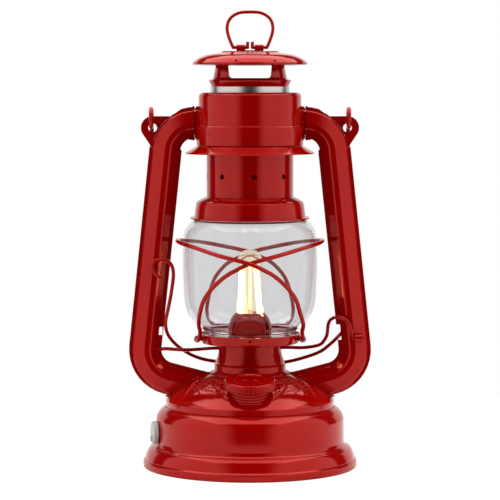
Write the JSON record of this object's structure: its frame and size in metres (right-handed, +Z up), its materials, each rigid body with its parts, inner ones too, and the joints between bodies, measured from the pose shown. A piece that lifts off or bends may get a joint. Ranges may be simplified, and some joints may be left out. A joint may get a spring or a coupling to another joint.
{
  "type": "oil lamp",
  "caption": "Hurricane lantern with glass globe, wire guard, two side tubes, bail, lifting hood and a dimmable filament LED bulb.",
  "frame": {"origin": "centre of the base's underside, on the floor", "axes": "+Z up along the lantern's axis, +X to its right side tube seen from the filler cap's side, -Y towards the filler cap"},
  "size_m": [0.1478, 0.1308, 0.2779],
  "materials": {
    "red_enamel": "gloss enamel",
    "bright_steel": "bright",
    "tinned_steel": "satin",
    "circuit_board": "solder mask",
    "black_plastic": "moulded",
    "white_ceramic": "glazed",
    "cell_wrap": "shrink wrap",
    "grey_rubber": "matte",
    "bulb_glass": "clear",
    "globe_glass": "clear",
    "led_filament": "glowing phosphor",
    "lead_insulation": "moulded"
  },
  "bodies": {
    "frame": {"base_shell": "red_enamel", "bottom_plate": "red_enamel", "bottom_screws": "bright_steel", "tank_dome": "red_enamel", "battery_tray": "black_plastic", "battery_cells": "cell_wrap", "driver_board": "circuit_board", "charge_board": "circuit_board", "charge_port": "bright_steel", "filler_neck": "red_enamel", "dimmer_switch": "black_plastic", "burner_neck": "red_enamel", "burner_cone": "red_enamel", "bulb_holder": "white_ceramic", "bulb_envelope": "bulb_glass", "bulb_stem": "bulb_glass", "bulb_filaments": "led_filament", "filament_wires": "bright_steel", "bulb_lead": "lead_insulation", "collar": "red_enamel", "deflector_skirt": "red_enamel", "hood_spring": "bright_steel", "left_arm": "red_enamel", "right_arm": "red_enamel", "left_ear": "red_enamel", "right_ear": "red_enamel", "lever_pin": "bright_steel", "crank_bracket": "red_enamel"},
    "port_flap": {"port_cover": "grey_rubber"},
    "dimmer": {"filler_cap": "red_enamel", "dimmer_shaft": "bright_steel"},
    "globe_carrier": {"globe_plate": "red_enamel", "globe": "globe_glass", "globe_guard": "red_enamel"},
    "hood": {"chimney_bell": "red_enamel", "chimney_tube": "red_enamel", "flue_tube": "tinned_steel", "hood_gallery": "red_enamel", "hood_cap": "red_enamel", "ring_clip": "red_enamel"},
    "lifting_ring": {"hood_ring": "red_enamel"},
    "carrying_bail": {"bail": "red_enamel"},
    "lever": {"lift_lever": "red_enamel"},
    "crank": {"lift_crank": "red_enamel"}
  },
  "joints": [
    {"name": "port_flap_hinge", "type": "hinge", "parent": "frame", "child": "port_flap", "pos_m": [-0.05766, -0.01226, 0.02915], "axis": [-0.2079, 0.9781, 0], "range_deg": [0, 110]},
    {"name": "dimmer_turn", "type": "hinge", "parent": "frame", "child": "dimmer", "pos_m": [0, -0.0406, 0.0582], "axis": [0, -0.165, 0.9863], "range_deg": [0, 270]},
    {"name": "lever_lift", "type": "hinge", "parent": "frame", "child": "lever", "pos_m": [0.0605, 0, 0.0829], "axis": [0, 1, 0], "range_deg": [0, 5]},
    {"name": "crank_turn", "type": "hinge", "parent": "frame", "child": "crank", "pos_m": [-0.056, 0, 0.0716], "axis": [0.9949, -0.0783, 0.0636], "range_deg": [0, 14]},
    {"name": "globe_lift", "type": "slide", "parent": "frame", "child": "globe_carrier", "axis": [0, 0, 1], "range_m": [0, 0.005], "deforming": ["hood_spring"]},
    {"name": "hood_lift", "type": "slide", "parent": "globe_carrier", "child": "hood", "axis": [0, 0, 1], "range_m": [0, 0.008], "stiffness_N_per_m": 300, "springref_m": -0.01, "deforming": ["hood_spring"]},
    {"name": "lifting_ring_hinge", "type": "hinge", "parent": "hood", "child": "lifting_ring", "pos_m": [0, 0, 0.2555], "axis": [1, 0, 0], "range_deg": [-85, 85]},
    {"name": "bail_hinge", "type": "hinge", "parent": "frame", "child": "carrying_bail", "pos_m": [0, 0, 0.21277], "axis": [1, 0, 0], "range_deg": [0, 240]}
  ],
  "couplings": [
    {"joint": "crank_turn", "follows": "lever_lift", "ratio": 2.7},
    {"joint": "globe_lift", "follows": "lever_lift", "m_per_rad": 0.0572}
  ]
}
